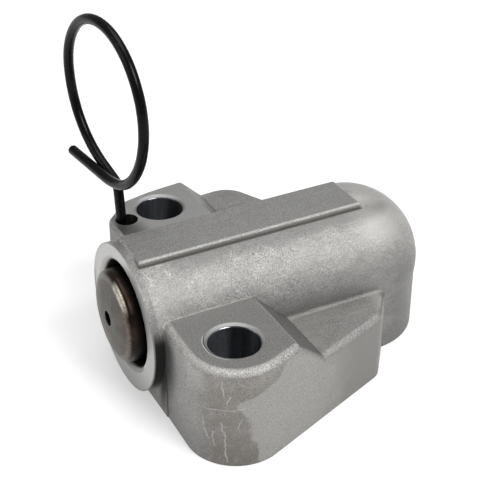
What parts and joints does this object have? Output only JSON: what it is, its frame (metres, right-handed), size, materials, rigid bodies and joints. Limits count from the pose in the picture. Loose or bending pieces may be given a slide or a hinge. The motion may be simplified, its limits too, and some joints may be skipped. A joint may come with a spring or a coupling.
{
  "type": "balance shaft chain tensioner",
  "caption": "Hydraulic chain tensioner: cast body with bolt ears and a barrel, sprung steel plunger, ratchet pawl, and a wire pull pin that holds it.",
  "frame": {"origin": "centre of the near bolt hole on the mounting face", "axes": "+Z out of the mounting face along the bolt holes; +X along the barrel, away from the plunger's nose; +Y towards the pull pin's ear"},
  "size_m": [0.0492, 0.0558, 0.0476],
  "materials": {
    "cast_aluminium": "blasted casting, machined faces",
    "plunger_steel": "ground steel with a brown heat film",
    "bright_steel": "bright turned",
    "ball_steel": "polished",
    "cage_steel": "pressed sheet, passivated",
    "spring_steel": "drawn wire",
    "pawl_steel": "sintered, oiled",
    "filler_plastic": "moulded, matt",
    "black_wire": "black oxide, satin"
  },
  "bodies": {
    "body": {"housing": "cast_aluminium", "valve_seat": "bright_steel", "ball_cage": "cage_steel", "ball_spring": "spring_steel", "pawl_pivot": "bright_steel", "pawl_spring": "spring_steel", "plunger_spring": "spring_steel"},
    "plunger_body": {"plunger": "plunger_steel", "vent_disc": "bright_steel", "volume_filler": "filler_plastic"},
    "ball": {"check_ball": "ball_steel"},
    "pawl": {"ratchet_pawl": "pawl_steel"},
    "pin": {"lock_pin": "black_wire"}
  },
  "joints": [
    {"name": "plunger_slide", "type": "slide", "parent": "body", "child": "plunger_body", "axis": [-1, 0, 0], "range_m": [0, 0.0096], "deforming": ["plunger_spring"]},
    {"name": "ball_lift", "type": "slide", "parent": "body", "child": "ball", "axis": [-1, 0, 0], "range_m": [0, 0.0006], "stiffness_N_per_m": 150, "deforming": ["ball_spring"]},
    {"name": "pawl_swing", "type": "hinge", "parent": "body", "child": "pawl", "pos_m": [-0.0001, 0.0287, 0.0108], "axis": [0, 0, 1], "range_deg": [-6.6, 0]},
    {"name": "pin_pull", "type": "slide", "parent": "body", "child": "pin", "axis": [0, 0, 1], "range_m": [0, 0.012]}
  ]
}
